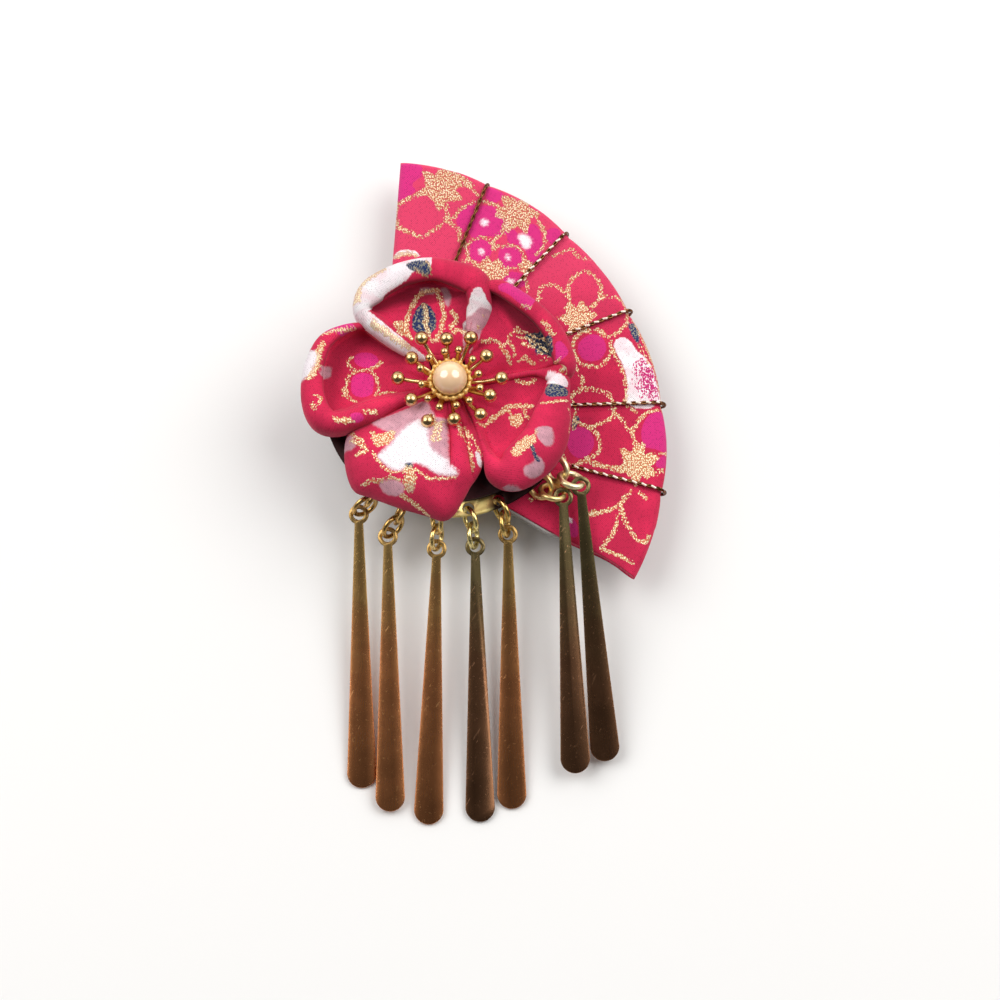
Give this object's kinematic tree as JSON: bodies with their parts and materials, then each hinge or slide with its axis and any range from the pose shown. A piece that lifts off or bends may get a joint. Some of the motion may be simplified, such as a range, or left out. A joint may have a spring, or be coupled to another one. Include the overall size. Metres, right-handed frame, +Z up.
{
  "type": "hair barrette",
  "caption": "Hair barrette: a folded cloth plum flower and a cloth-covered fan on a long clasp, with slim gilt strips trailing from a curved plate on jump rings.",
  "frame": {"origin": "on the floor that the clasp's lower bar lies on, straight below the middle of the flower", "axes": "+Z up, from the clasp towards the flower; +Y away from the strips, +X to the right towards the fan's rounded side"},
  "size_m": [0.0706, 0.1296, 0.0237],
  "materials": {
    "petal_cloth": "woven print, matt",
    "fan_cloth": "woven print, matt",
    "cord_gold": "twisted metallic cord",
    "backing": "dark felt over card",
    "gold_metal": "polished gilt",
    "pearl": "pearl coated",
    "clasp_steel": "nickel plated"
  },
  "bodies": {
    "root": {"hair_clasp": "clasp_steel", "fan_body": "fan_cloth", "fan_cord_1": "cord_gold", "fan_cord_2": "cord_gold", "fan_cord_3": "cord_gold", "fan_cord_4": "cord_gold", "fan_cord_5": "cord_gold", "drop_plate": "gold_metal", "backing_disc": "backing", "petal_top": "petal_cloth", "petal_right": "petal_cloth", "petal_lower_right": "petal_cloth", "petal_bottom": "petal_cloth", "petal_left": "petal_cloth", "stamen_crown": "gold_metal", "pearl": "pearl", "ring_upper_1": "gold_metal", "ring_upper_2": "gold_metal", "ring_upper_3": "gold_metal", "ring_upper_4": "gold_metal", "ring_upper_5": "gold_metal", "ring_upper_6": "gold_metal", "ring_upper_7": "gold_metal", "ring_lower_1": "gold_metal", "ring_lower_2": "gold_metal", "ring_lower_3": "gold_metal", "ring_lower_4": "gold_metal", "ring_lower_5": "gold_metal", "ring_lower_6": "gold_metal", "ring_lower_7": "gold_metal", "strip_1": "gold_metal", "strip_2": "gold_metal", "strip_3": "gold_metal", "strip_4": "gold_metal", "strip_5": "gold_metal", "strip_6": "gold_metal", "strip_7": "gold_metal"}
  },
  "joints": []
}
